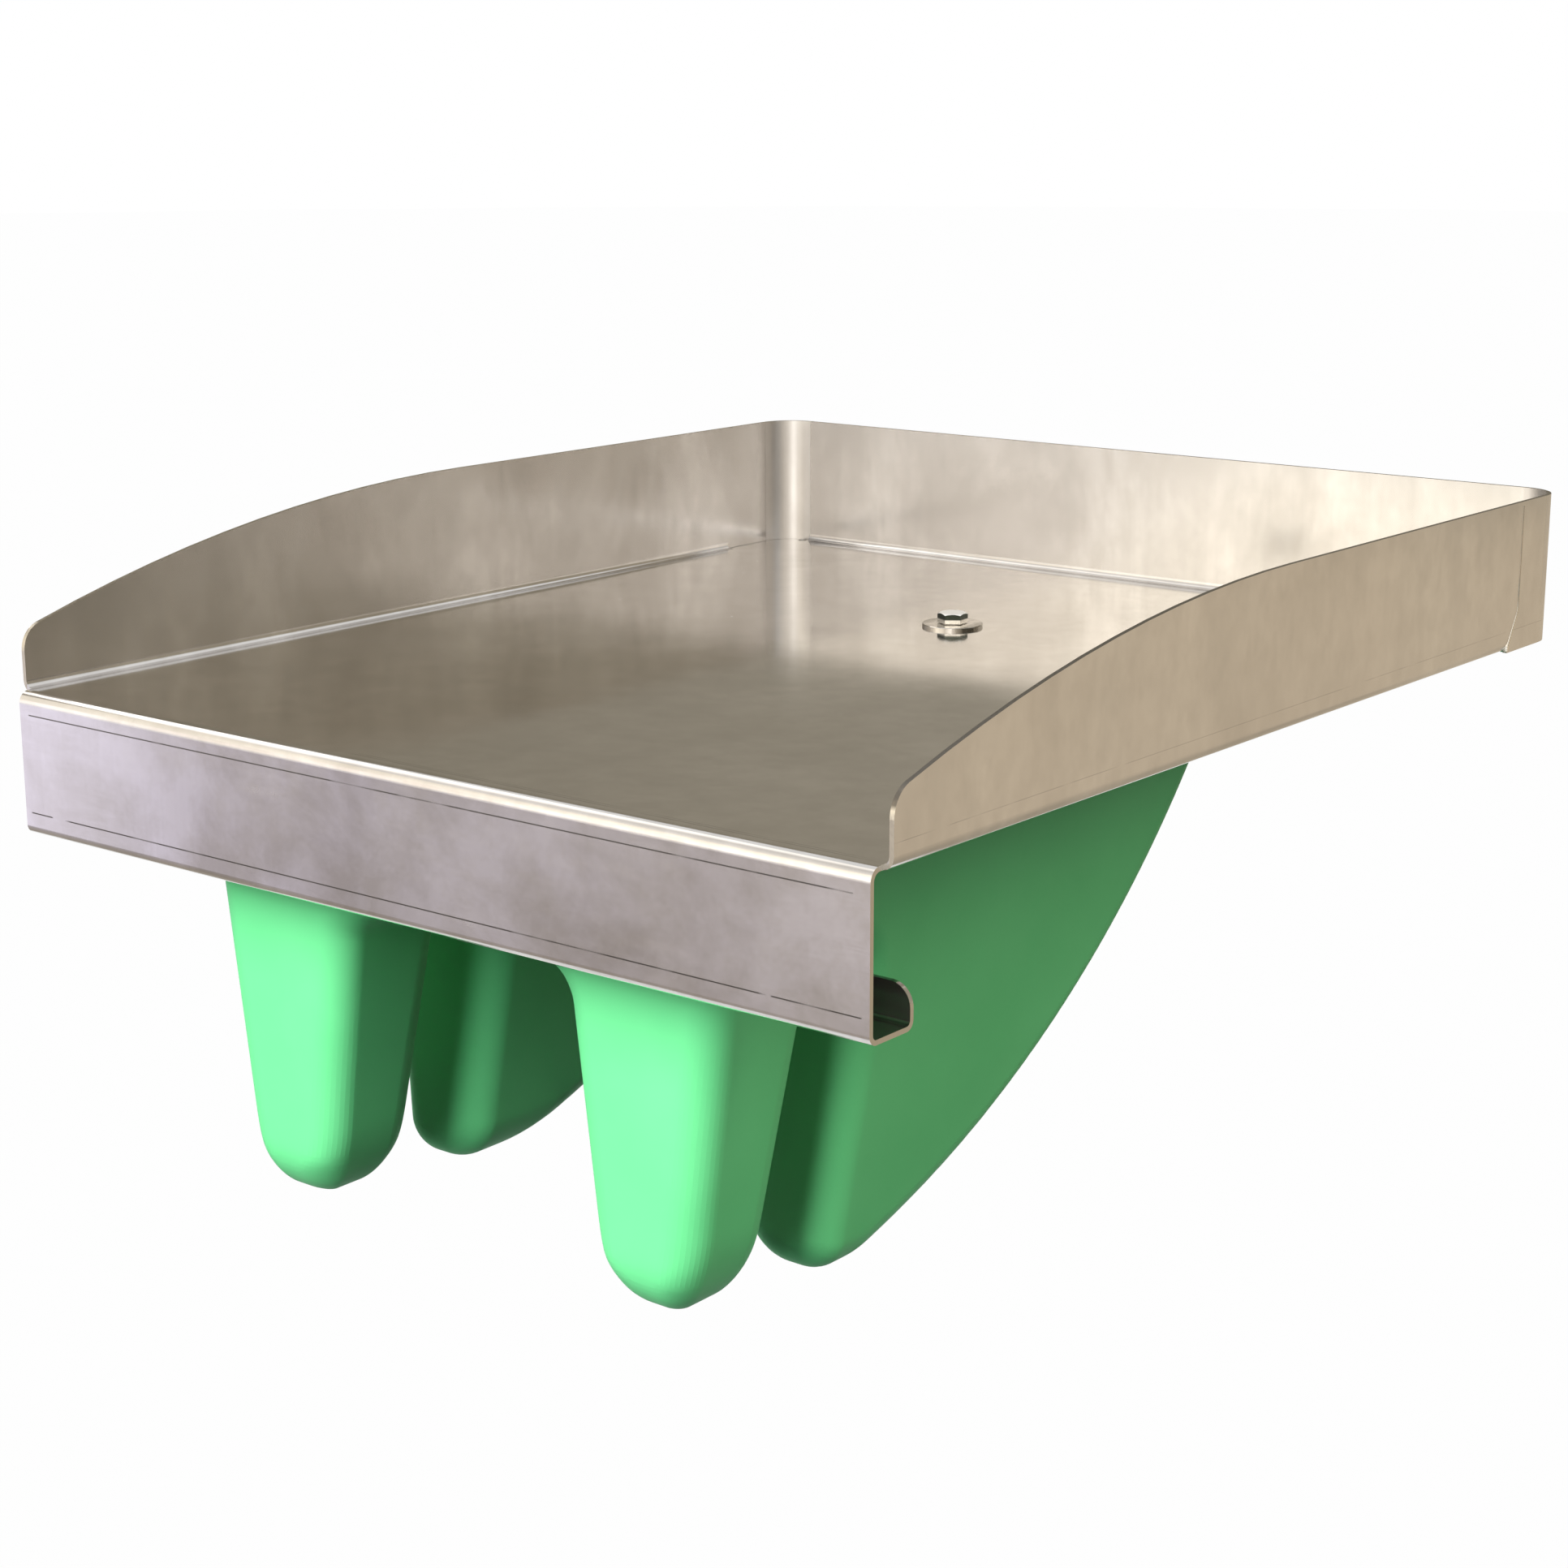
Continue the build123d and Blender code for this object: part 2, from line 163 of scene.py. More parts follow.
MIDDLE_Y = 0.15  # the studio's middle lies under the tray's
RIM_PROFILE = [(3.2, 0.0), (3.6, 0.06), (3.9, 0.22), (4.05, 0.5)]
SIDES = 48
dish = [(0.0, MIDDLE_Y, FLOOR_Z)]
for radius, rise in RIM_PROFILE:
    for step in range(SIDES):
        turn = 2 * math.pi * step / SIDES
        dish.append(
            (radius * math.cos(turn), MIDDLE_Y + radius * math.sin(turn), FLOOR_Z + rise)
        )
panels = [(0, 1 + step, 1 + (step + 1) % SIDES) for step in range(SIDES)]
for band in range(len(RIM_PROFILE) - 1):
    low = 1 + band * SIDES
    for step in range(SIDES):
        after = (step + 1) % SIDES
        panels.append((low + step, low + SIDES + step, low + SIDES + after, low + after))
floor = mesh_object("studio_floor", dish, panels, paper)

toned_card, tree = new_material("toned_card")
tone = add_node(tree, "ShaderNodeAttribute", attribute_name="card_tone")
lit = add_node(tree, "ShaderNodeEmission", {"Color": tone, "Strength": 1.0})
add_node(tree, "ShaderNodeOutputMaterial", {"Surface": lit})


def card(name, distance, low, high, stops, strength=1.0):
    """Hangs a card round the object; each stop is a bearing with its two tones."""
    near, far = distance if isinstance(distance, tuple) else (distance, distance)
    corners, tones = [], []
    for (first, *ends), (last, *next_ends) in zip(stops, stops[1:]):
        steps = max(1, round((last - first) / 5))
        for step in range(steps + 1):
            share = step / steps
            turn = math.radians(first + (last - first) * share)
            for reach, height in ((near, low), (far, high)):
                corners.append(
                    (reach * math.sin(turn), MIDDLE_Y + reach * math.cos(turn), height)
                )
            for end, next_end in zip(ends, next_ends):
                pair = zip(linear(end), linear(next_end))
                tones.append([strength * (a + (b - a) * share) for a, b in pair])
    strips = [(i, i + 2, i + 3, i + 1) for i in range(0, len(corners) - 3, 2)]
    made = mesh_object(name, corners, strips, toned_card)
    colours = made.data.color_attributes.new("card_tone", "FLOAT_COLOR", "POINT")
    for point, tone in zip(colours.data, tones):
        point.color = tone
    made.visible_camera = False
    made.visible_shadow = False
    made.visible_diffuse = False


# Bearings run from straight behind (0) to the right (90); tones are low, high.
CARDS_PART = -0.02  # low cards end and tall ones start at this height
card(
    "surround_card",
    2.6,
    FLOOR_Z,
    2.3,
    [
        (-112, "DED9D0", "C2BBAF"),
        (-96, "B0A99B", "9D9687"),
        (-80, "918A7B", "8C8576"),
        (-60, "898272", "8F8878"),
        (-44, "989182", "9A9384"),
        (-30, "A39C8D", "A19A8A"),
        (-10, "AFA593", "AAA090"),
        (8, "BAAF9B", "B2A795"),
        (32, "AFA592", "A9A08D"),
        (52, "ABA18F", "A79E8C"),
        (64, "B9AE9C", "B2A897"),
        (82, "E2DBD0", "D5CDC1"),
    ],
)
card(
    "low_card_right",
    1.5,
    FLOOR_Z,
    CARDS_PART,
    [(-6, "D6C6AE", "D8C7AD"), (55, "D6C6AE", "DDCCB2"), (80, "E4DBD0", "E4DBD0")],
)
card(
    "low_card_front",
    1.45,
    FLOOR_Z,
    -0.06,
    [
        (-178, "B0A9A7", "B0A9A7"),
        (-157, "CCC5C1", "CFC8C4"),
        (-151, "98918F", "9F9896"),
        (-145, "B9B3B5", "C0BABB"),
        (-140, "A39D9F", "A8A2A4"),
        (-135, "B2ACB2", "BAB4BA"),
        (-130, "E2DDE6", "E6E1EB"),
        (-98, "F5F0FC", "F5F0FC"),
    ],
    1.35,
)
# Two lie flat just above the floor, where the apron and the walls look down.
FLAT_CARD_Z = FLOOR_Z + 0.004
card(
    "flat_card_front",
    (0.55, 1.45),
    FLAT_CARD_Z,
    FLAT_CARD_Z,
    [(-178, "B0A698", "C0B9B6"), (-140, "A89E90", "B3ACAB"), (-98, "B5AC9F", "C5C0C4")],
)
card(
    "flat_card_right",
    (0.4, 1.5),
    FLAT_CARD_Z,
    FLAT_CARD_Z,
    [(-6, "AEA390", "D6C6AE"), (55, "AEA390", "D6C6AE"), (100, "B4AA98", "DDD0BC")],
)
card(
    "window_card",
    2.4,
    CARDS_PART,
    2.0,
    [
        (-190, "C9C2B6", "B9B2A6"),
        (-176, "E2DACE", "CFC7BA"),
        (-160, "FFFAEC", "E6DDCE"),
        (-150, "F8F0E2", "DED5C6"),
        (-141, "DAD2C6", "C6BEB0"),
        (-128, "CEC8BE", "BAB3A6"),
        (-112, "D4CEC4", "BAB3A6"),
    ],
    2.45,
)
card(
    "right_card",
    2.4,
    CARDS_PART,
    1.6,
    [
        (96, "A8A298", "98928A"),
        (117, "B4AEA5", "98928A"),
        (133, "C6C0B8", "A09A91"),
        (142, "BFBAB3", "A29C94"),
        (148, "FFFBF5", "ABA59B"),
        (158, "FFFBF5", "ABA59B"),
        (172, "B9B3AA", "A9A298"),
    ],
    3.2,
)
# Two more hang high up: the bends and the foot of the back wall mirror them.
card(
    "upper_card_left",
    1.2,
    0.8,
    2.3,
    [
        (-150, "B9B5B0", "97948F"),
        (-126, "A9A5A1", "97948F"),
        (-106, "FFFBF6", "C4C1BC"),
        (-88, "FFFBF6", "C4C1BC"),
    ],
    2.5,
)
card(
    "upper_card_right",
    1.2,
    0.9,
    2.3,
    [(86, "FFFBF6", "FFFBF6"), (128, "FFFBF6", "FFFBF6")],
    2.5,
)


def soft_box(name, bearing, rise, distance, width, height, colour, strength):
    """Aims a soft box at the tray; the cards stand in for it in what mirrors."""
    lamp = bpy.data.lights.new(name, "AREA")
    lamp.shape = "RECTANGLE"
    lamp.size = width
    lamp.size_y = height
    lamp.color = linear(colour)[:3]
    lamp.energy = strength * math.pi * width * height
    made = bpy.data.objects.new(name, lamp)
    turn = math.radians(bearing)
    lift = math.radians(rise)
    away = Vector(
        (math.sin(turn) * math.cos(lift), math.cos(turn) * math.cos(lift), math.sin(lift))
    )
    made.location = Vector((0.0, MIDDLE_Y, 0.05)) + away * distance
    made.rotation_euler = away.to_track_quat("Z", "Y").to_euler()
    made.visible_camera = False
    made.visible_glossy = False
    bpy.context.collection.objects.link(made)


soft_box("window_soft_box", 178, 39, 2.6, 1.6, 1.9, "FFFCF8", 15.6)
soft_box("sill_soft_box", 178, 2, 2.6, 1.6, 0.6, "FFFCF8", 7.0)
soft_box("right_soft_box", 92, 34, 2.4, 1.6, 1.4, "FFEFDC", 5.0)
soft_box("rear_soft_box", -48, 18, 2.4, 2.0, 1.4, "FFFFFF", 3.6)


# ---------------------------------------------------------------------------
# Tray: one sheet of 2 mm stainless steel, cold rolled to a semi-bright skin,
# laser cut, then folded on a press brake.  It mirrors softly, with cloudy
# patches where it was wiped, and dark lines where the brake's die has pressed.
# ---------------------------------------------------------------------------
def between(tree, value, low, high, soft=0.0001):
    """One where a value lies between two limits, with soft borders."""
    rise = add_node(
        tree,
        "ShaderNodeMapRange",
        {"Value": value, "From Min": low - soft, "From Max": low + soft},
    )
    fall = add_node(
        tree,
        "ShaderNodeMapRange",
        {"Value": value, "From Min": high + soft, "From Max": high - soft},
    )
    return chain(tree, "MULTIPLY", rise, fall)


def blotches(
    tree,
    place,
    apart,
    low=0.0,
    high=1.0,
    detail=2.0,
    roughness=0.5,
    turn=(0, 0, 0),
    draw=(1, 1, 1),
    distortion=0.0,
):
    """Patches so many metres apart, turned and drawn out, bare at low, full at high."""
    turned = add_node(
        tree,
        "ShaderNodeMapping",
        {"Vector": place, "Rotation": [math.radians(angle) for angle in turn], "Scale": draw},
    )
    pattern = add_node(
        tree,
        "ShaderNodeTexNoise",
        {
            "Vector": turned,
            "Scale": 1 / apart,
            "Detail": detail,
            "Roughness": roughness,
            "Distortion": distortion,
        },
    )
    if (low, high) == (0.0, 1.0):
        return pattern
    return add_node(
        tree, "ShaderNodeMapRange", {"Value": pattern, "From Min": low, "From Max": high}
    )


def coats(tree, under, *layers):
    """Lays colours over one another, each with what its cover is the product of."""
    for colour, *cover in layers:
        under = add_node(
            tree,
            "ShaderNodeMix",
            {0: chain(tree, "MULTIPLY", *cover), 6: under, 7: colour},
            data_type="RGBA",
        ).outputs[2]
    return under


def roughened(tree, base, *causes):
    """Adds up a roughness; each cause is given as what it is the product of."""
    shares = [chain(tree, "MULTIPLY", *cause) for cause in causes]
    return chain(tree, "ADD", base, *shares)


def relief(tree, *layers):
    """Bump upon bump; each is a pattern and its depth in metres."""
    surface = None
    for height, depth in layers:
        inputs = {"Height": height, "Strength": 1.0, "Distance": depth}
        if surface is not None:
            inputs["Normal"] = surface
        surface = add_node(tree, "ShaderNodeBump", inputs)
    return surface


def give_finish(name, material):
    """Gives a carried-over piece its finish."""
    nodes[name].data.materials.clear()
    nodes[name].data.materials.append(material)


TRAY_LOW, TRAY_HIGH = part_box("tray_sheet")
SHEET = 0.002
WALL_TOP = TRAY_HIGH[2]
WALL_SIDE = TRAY_HIGH[0]
BACK_FACE = TRAY_HIGH[1]
CORNER_RADIUS = 0.020
FLOOR_TOP = WALL_TOP - 0.069
APRON_FACE = TRAY_LOW[1]
APRON_END = WALL_SIDE - 0.005
HEM_LOW = TRAY_LOW[2]
HEM_REACH = 0.030  # all that is folded under the apron lies within this
ON_FACE = 0.0002  # points this near to a face count as on it
PAST = 0.001  # a limit that nothing ends at lies this far outside the sheet

stainless, tree = new_material("cold_rolled_stainless")
place = add_node(tree, "ShaderNodeTexCoord").outputs["Object"]
x, y, z = add_node(tree, "ShaderNodeSeparateXYZ", {0: place}).outputs
facing = add_node(tree, "ShaderNodeNewGeometry").outputs["Normal"]
across, along, up = add_node(tree, "ShaderNodeSeparateXYZ", {0: facing}).outputs
# The tray's two halves are alike, so both go by these values without a sign.
side, sideways, tilt = [
    add_node(tree, "ShaderNodeMath", {0: value}, operation="ABSOLUTE")
    for value in (x, across, up)
]
level = add_node(tree, "ShaderNodeMapRange", {"Value": tilt, "From Min": 0.45, "From Max": 0.75})
upright = add_node(
    tree, "ShaderNodeMapRange", {"Value": tilt, "From Min": 0.75, "From Max": 0.45}
)

wall_face = between(tree, side, WALL_SIDE - ON_FACE, WALL_SIDE + PAST)
outwards = add_node(
    tree, "ShaderNodeMapRange", {"Value": sideways, "From Min": 0.8, "From Max": 0.95}
)
outer_skin = chain(tree, "MULTIPLY", wall_face, outwards)
mostly_inside = add_node(
    tree, "ShaderNodeMapRange", {"Value": outer_skin, "To Min": 1.0, "To Max": 0.1}
)
forwards = add_node(
    tree, "ShaderNodeMapRange", {"Value": along, "From Min": -0.7, "From Max": -0.95}
)
apron = chain(
    tree, "MULTIPLY", between(tree, y, APRON_FACE - PAST, APRON_FACE + 2 * ON_FACE), forwards
)

# The upright corners were bumped round in many small strokes, which dulled them.
CORNER_FADE = 0.0015
within = [
    add_node(
        tree,
        "ShaderNodeMapRange",
        {
            "Value": value,
            "From Min": face - CORNER_RADIUS - CORNER_FADE,
            "From Max": face - CORNER_RADIUS,
        },
    )
    for value, face in ((side, WALL_SIDE), (y, BACK_FACE))
]
rolled_corner = chain(tree, "MULTIPLY", *within, upright)

# Wiping and handling leave clouds 95 mm apart and patches 34 mm apart, drawn
# out downwards on the walls, with streaks 6 mm apart and an 11 mm mottle.
cloud = blotches(tree, place, 0.095, 0.37, 0.65, 4.0, 0.6, draw=(1, 1, 0.5), distortion=0.6)
patch = blotches(tree, place, 0.034, 0.35, 0.68, 3.0, 0.6, draw=(1, 1, 0.55), distortion=0.4)
streak = chain(
    tree,
    "MULTIPLY",
    blotches(tree, place, 0.006, 0.38, 0.66, 3.0, 0.6, draw=(1, 1, 0.07)),
    upright,
    mostly_inside,
)
mottle = blotches(tree, place, 0.011, 0.38, 0.7, 3.0, 0.55, draw=(1, 1, 0.8))

# Cloth strokes 4.5 mm apart run slantwise over parts of the apron's face, over
# a haze of 45 mm patches, and its left end was rubbed brighter.
stroke = chain(
    tree,
    "MULTIPLY",
    blotches(tree, place, 0.0045, 0.42, 0.7, 3.0, 0.65, turn=(0, -38, 0), draw=(0.12, 1, 1)),
    apron,
    blotches(tree, place, 0.08, 0.3, 0.6),
)
hazy = blotches(
    tree,
    place,
    0.045,
    0.36,
    0.64,
    5.0,
    0.66,
    turn=(0, -25, 0),
    draw=(0.85, 1, 1),
    distortion=0.2,
)
left_end = add_node(
    tree, "ShaderNodeMapRange", {"Value": x, "From Min": -0.13, "From Max": -0.215}
)
stroked = add_node(
    tree,
    "ShaderNodeMapRange",
    {"Value": stroke, "From Max": 0.7, "To Min": 0.45, "To Max": 1.0},
)
rubbed = chain(tree, "MULTIPLY", apron, left_end, stroked)

# The die's edges pressed thin dark lines beside each bend, broken here and
# there.  A stroke is given by its two ends and by how softly they fade.
LINE_WIDTH = 0.00055
UPPER_LINE = FLOOR_TOP - 0.01025
UPPER_STROKES = [(-0.229, 0.2275, 0.0005)]
LOWER_LINE = HEM_LOW + 0.0099
LOWER_STROKES = [(-0.206, 0.187, 0.002), (0.191, 0.2315, 0.0005), (-0.231, -0.2165, 0.0005)]
FLOOR_LINES = [(APRON_FACE + 0.0087, 0.0004), (APRON_FACE + 0.0106, 0.0003)]
FLOOR_STROKES = [(-0.035, 0.222, 0.012)]
OUTER_LINE = FLOOR_TOP + 0.0082
OUTER_LINE_WIDTH = 0.0003


def ruled(tree, run, strokes, *where):
    """A line of strokes along a run, kept to where its masks are one."""
    lengths = [between(tree, run, *stroke) for stroke in strokes]
    return chain(tree, "MULTIPLY", *where, chain(tree, "MAXIMUM", *lengths))


upper_line = ruled(
    tree, x, UPPER_STROKES, apron, between(tree, z, UPPER_LINE, UPPER_LINE + LINE_WIDTH)
)
lower_line = ruled(
    tree, x, LOWER_STROKES, apron, between(tree, z, LOWER_LINE, LOWER_LINE + LINE_WIDTH)
)
floor_line = ruled(
    tree,
    x,
    FLOOR_STROKES,
    level,
    between(tree, z, FLOOR_TOP - 2 * ON_FACE, FLOOR_TOP + 2 * ON_FACE),
    chain(tree, "MAXIMUM", *(between(tree, y, low, low + wide) for low, wide in FLOOR_LINES)),
)
outer_line = chain(
    tree, "MULTIPLY", wall_face, between(tree, z, OUTER_LINE, OUTER_LINE + OUTER_LINE_WIDTH)
)
broken = blotches(tree, place, 0.028, 0.34, 0.46, 2.0, 0.6)
pressed = []
for line, faint, strong in (
    (upper_line, 0.35, 0.9),
    (lower_line, 0.5, 0.95),
    (floor_line, 0.15, 0.55),
):
    dark = add_node(
        tree, "ShaderNodeMapRange", {"Value": broken, "To Min": faint, "To Max": strong}
    )
    pressed.append(chain(tree, "MULTIPLY", line, dark))
die_lines = chain(
    tree, "MAXIMUM", *pressed, chain(tree, "MULTIPLY", outer_line, broken, 0.22)
)

# Cut edges: the laser leaves a paler, less shiny edge with fine ribs, drawn
# 0.7 mm apart here, which is coarser than they are, so that they show.
upwards = add_node(tree, "ShaderNodeMapRange", {"Value": up, "From Min": 0.25, "From Max": 0.4})
wall_tops = chain(
    tree, "MULTIPLY", upwards, between(tree, z, FLOOR_TOP + 0.006, WALL_TOP + PAST)
)
frontwards = add_node(
    tree, "ShaderNodeMapRange", {"Value": along, "From Min": -0.25, "From Max": -0.4}
)
wall_ends = chain(
    tree,
    "MULTIPLY",
    frontwards,
    between(tree, side, WALL_SIDE - SHEET - 0.00005, WALL_SIDE + PAST),
    between(tree, z, FLOOR_TOP - SHEET, WALL_TOP + PAST),
)
endwards = add_node(
    tree, "ShaderNodeMapRange", {"Value": sideways, "From Min": 0.9, "From Max": 0.98}
)
apron_ends = chain(
    tree,
    "MULTIPLY",
    between(tree, side, APRON_END - ON_FACE, APRON_END + ON_FACE),
    endwards,
    between(tree, y, APRON_FACE - PAST, APRON_FACE + HEM_REACH),
)
cut = chain(tree, "MAXIMUM", wall_tops, wall_ends, apron_ends)
ribs = blotches(tree, place, 0.0007, detail=1.0, draw=(1, 1, 0.25))
# Painted shade: the top cut edge of the tray's right half is darkened.
shaded_right_half = add_node(tree, "ShaderNodeMapRange", {"Value": x, "From Max": 0.01})

# A few pale specks of dust, some 0.6 mm wide, lie on the floor.
cells = add_node(tree, "ShaderNodeTexVoronoi", {"Vector": place, "Scale": 1 / 0.016}).outputs
chance = add_node(tree, "ShaderNodeSeparateXYZ", {0: cells["Color"]})
speck = chain(
    tree,
    "MULTIPLY",
    level,
    add_node(
        tree,
        "ShaderNodeMapRange",
        {"Value": cells["Distance"], "From Min": 0.024, "From Max": 0.016},
    ),
    add_node(tree, "ShaderNodeMapRange", {"Value": chance, "From Min": 0.62, "From Max": 0.66}),
)

# The floor and the walls' outsides are calmer, and the right half's top edge
# is painted dark: painted shade.
plain = chain(
    tree,
    "MAXIMUM",
    chain(tree, "MULTIPLY", level, 0.75),
    chain(tree, "MULTIPLY", outer_skin, 0.7),
)
skin = coats(
    tree,
    "CAC7C4",
    ("E4E2E0", cloud),
    ("D9D6D3", plain),
    ("BFBCB8", patch, 0.4),
    ("BBB8B3", streak, 0.13),
    ("B4AEAC", stroke, 0.16),
    ("BFBBB6", mottle, 0.26),
    (coats(tree, "BFB9B5", ("E3DFE4", hazy)), apron, 0.7),
    ("F2F0F6", rubbed, 0.75),
    ("C4BDB0", cut),
    ("4A453F", wall_tops, shaded_right_half, 0.8),
    ("4A4642", die_lines),
    ("FFFDF6", speck, 0.6),
)
gloss = roughened(
    tree,
    add_node(tree, "ShaderNodeMapRange", {"Value": cloud, "To Min": 0.135, "To Max": 0.185}),
    (level, -0.05),
    (rolled_corner, 0.12),
    (patch, upright, 0.03),
    (streak, 0.02),
    (mottle, upright, 0.03),
    (stroke, 0.05),
    (cut, 0.16),
    (die_lines, 0.2),
    (speck, 0.3),
)
# Cold-rolled sheet is never quite flat: waves 160 mm apart bend what it mirrors.
surface = relief(
    tree,
    (blotches(tree, place, 0.16, detail=1.0, roughness=0.4), 0.0007),
    (streak, 0.000005),
    (stroke, 0.000008),
    (chain(tree, "MULTIPLY", ribs, cut), 0.00012),
)
metal = add_node(
    tree,
    "ShaderNodeBsdfPrincipled",
    {"Base Color": skin, "Metallic": 1.0, "Roughness": gloss, "Normal": surface},
)
add_node(tree, "ShaderNodeOutputMaterial", {"Surface": metal})
give_finish("tray_sheet", stainless)

# ---------------------------------------------------------------------------
# Corner welds: a TIG run closes each rear seam.  It is dressed nearly flush
# along the upright seam and left proud, with its ripples, over the slanting
# foot.  Each run starts 2 mm down, which leaves a notch at the wall's top.
# ---------------------------------------------------------------------------
# Dressing left it satin and warm grey with cooler patches; its foot is painted paler, a painted
# highlight.
weld, tree = new_material("dressed_stainless_weld")
place = add_node(tree, "ShaderNodeTexCoord").outputs["Object"]
x, y, z = add_node(tree, "ShaderNodeSeparateXYZ", {0: place}).outputs
heat = blotches(tree, place, 0.009, 0.45, 0.66, 3.0, 0.7)
# Painted highlight: the weld's slanting foot is given a paler colour.
low_run = add_node(
    tree,
    "ShaderNodeMapRange",
    {"Value": z, "From Min": FLOOR_TOP + 0.022, "From Max": FLOOR_TOP + 0.014},
)
metal = add_node(
    tree,
    "ShaderNodeBsdfPrincipled",
    {
        "Base Color": coats(tree, "BFB4A4", ("8F9A97", heat, 0.55), ("E6DFD2", low_run)),
        "Metallic": 1.0,
        "Roughness": add_node(
            tree, "ShaderNodeMapRange", {"Value": low_run, "To Min": 0.32, "To Max": 0.24}
        ),
        "Normal": relief(
            tree, (blotches(tree, place, 0.0006, roughness=0.6, draw=(1, 1, 0.1)), 0.00005)
        ),
    },
)
add_node(tree, "ShaderNodeOutputMaterial", {"Surface": metal})

weld_run = bpy.data.node_groups.new("weld_run", "GeometryNodeTree")
sockets = {}
for name, kind in (
    ("Path", "Geometry"),
    ("Ripple", "Float"),
    ("Ripple Spacing", "Float"),
    ("Finish", "Material"),
):
    sockets[name] = weld_run.interface.new_socket(
        name, in_out="INPUT", socket_type="NodeSocket" + kind
    )
weld_run.interface.new_socket("Run", in_out="OUTPUT", socket_type="NodeSocketGeometry")
given = add_node(weld_run, "NodeGroupInput").outputs
path = add_node(weld_run, "GeometryNodeMeshToCurve", {"Mesh": given["Path"]})
spaced = add_node(
    weld_run, "GeometryNodeResampleCurve", {"Curve": path, "Length": 0.00035}, mode="LENGTH"
)
travelled = add_node(weld_run, "GeometryNodeSplineParameter").outputs["Length"]
turns = chain(weld_run, "DIVIDE", travelled, given["Ripple Spacing"])
phase = chain(weld_run, "MULTIPLY", turns, 2 * math.pi)
wave = add_node(weld_run, "ShaderNodeMath", {0: phase}, operation="SINE")
swell = add_node(
    weld_run, "ShaderNodeMath", {0: wave, 1: given["Ripple"], 2: 1.0}, operation="MULTIPLY_ADD"
)
width = add_node(
    weld_run, "GeometryNodeInputNamedAttribute", {"Name": "run_radius"}, data_type="FLOAT"
)
radius = chain(weld_run, "MULTIPLY", width, swell)
swollen = add_node(weld_run, "GeometryNodeSetCurveRadius", {"Curve": spaced, "Radius": radius})
outline = add_node(
    weld_run, "GeometryNodeCurvePrimitiveCircle", {"Resolution": 14, "Radius": 1.0}
)
body = add_node(
    weld_run,
    "GeometryNodeCurveToMesh",
    {"Curve": swollen, "Profile Curve": outline, "Scale": radius, "Fill Caps": True},
)
smooth = add_node(weld_run, "GeometryNodeSetShadeSmooth", {"Geometry": body})
real = add_node(weld_run, "GeometryNodeRealizeInstances", {"Geometry": smooth})
done = add_node(
    weld_run, "GeometryNodeSetMaterial", {"Geometry": real, "Material": given["Finish"]}
)
add_node(weld_run, "NodeGroupOutput", {"Run": done})


def made_plain(source, name):
    """Turns an object with its modifiers into a plain mesh object."""
    depsgraph = bpy.context.evaluated_depsgraph_get()
    mesh = bpy.data.meshes.new_from_object(source.evaluated_get(depsgraph))
    mesh.name = name
    bpy.data.objects.remove(source)
    made = bpy.data.objects.new(name, mesh)
    bpy.context.collection.objects.link(made)
    return made


SEAM_UPPER = BACK_FACE - 0.046
SEAM_LOWER = BACK_FACE - 0.055
RUN_PROUD = 0.00025
RIPPLE = 0.045
RIPPLE_SPACING = 0.0013
# Each stop of a run: its place along the tray, its height and its radius.
RUN_STOPS = [
    (SEAM_UPPER, WALL_TOP - 0.0022, 0.00100),
    (SEAM_UPPER, FLOOR_TOP + 0.024, 0.00104),
    (SEAM_UPPER, FLOOR_TOP + 0.0167, 0.00112),
    (SEAM_LOWER, FLOOR_TOP + 0.0015, 0.00130),
    (SEAM_LOWER, FLOOR_TOP - 0.0010, 0.00115),
]
for name, hand in (("corner_weld_left", -1), ("corner_weld_right", 1)):
    seam_x = hand * (WALL_SIDE - SHEET / 2 + RUN_PROUD)
    line = bpy.data.meshes.new("seam_line")
    line.from_pydata(
        [(seam_x, stop_y, stop_z) for stop_y, stop_z, _ in RUN_STOPS],
        [(i, i + 1) for i in range(len(RUN_STOPS) - 1)],
        [],
    )
    radii = line.attributes.new("run_radius", "FLOAT", "POINT")
    for point, (_, _, run_radius) in zip(radii.data, RUN_STOPS):
        point.value = run_radius
    seam = bpy.data.objects.new("seam_line", line)
    bpy.context.collection.objects.link(seam)
    run = seam.modifiers.new("weld_run", "NODES")
    run.node_group = weld_run
    run[sockets["Ripple"].identifier] = RIPPLE
    run[sockets["Ripple Spacing"].identifier] = RIPPLE_SPACING
    run[sockets["Finish"].identifier] = weld
    bead = made_plain(seam, name + "_bead")
    # The seam's inside is ground flush, so its filler looks like the sheet.
    bead.data.materials.append(stainless)
    joined = bmesh.new()
    joined.from_mesh(bead.data)
    before = len(joined.faces)
    joined.from_mesh(nodes[name].data)
    joined.faces.ensure_lookup_table()
    for face in joined.faces[before:]:
        face.material_index = 1
        face.smooth = False
    joined.to_mesh(bead.data)
    joined.free()
    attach(bead, "root")
    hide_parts(name)

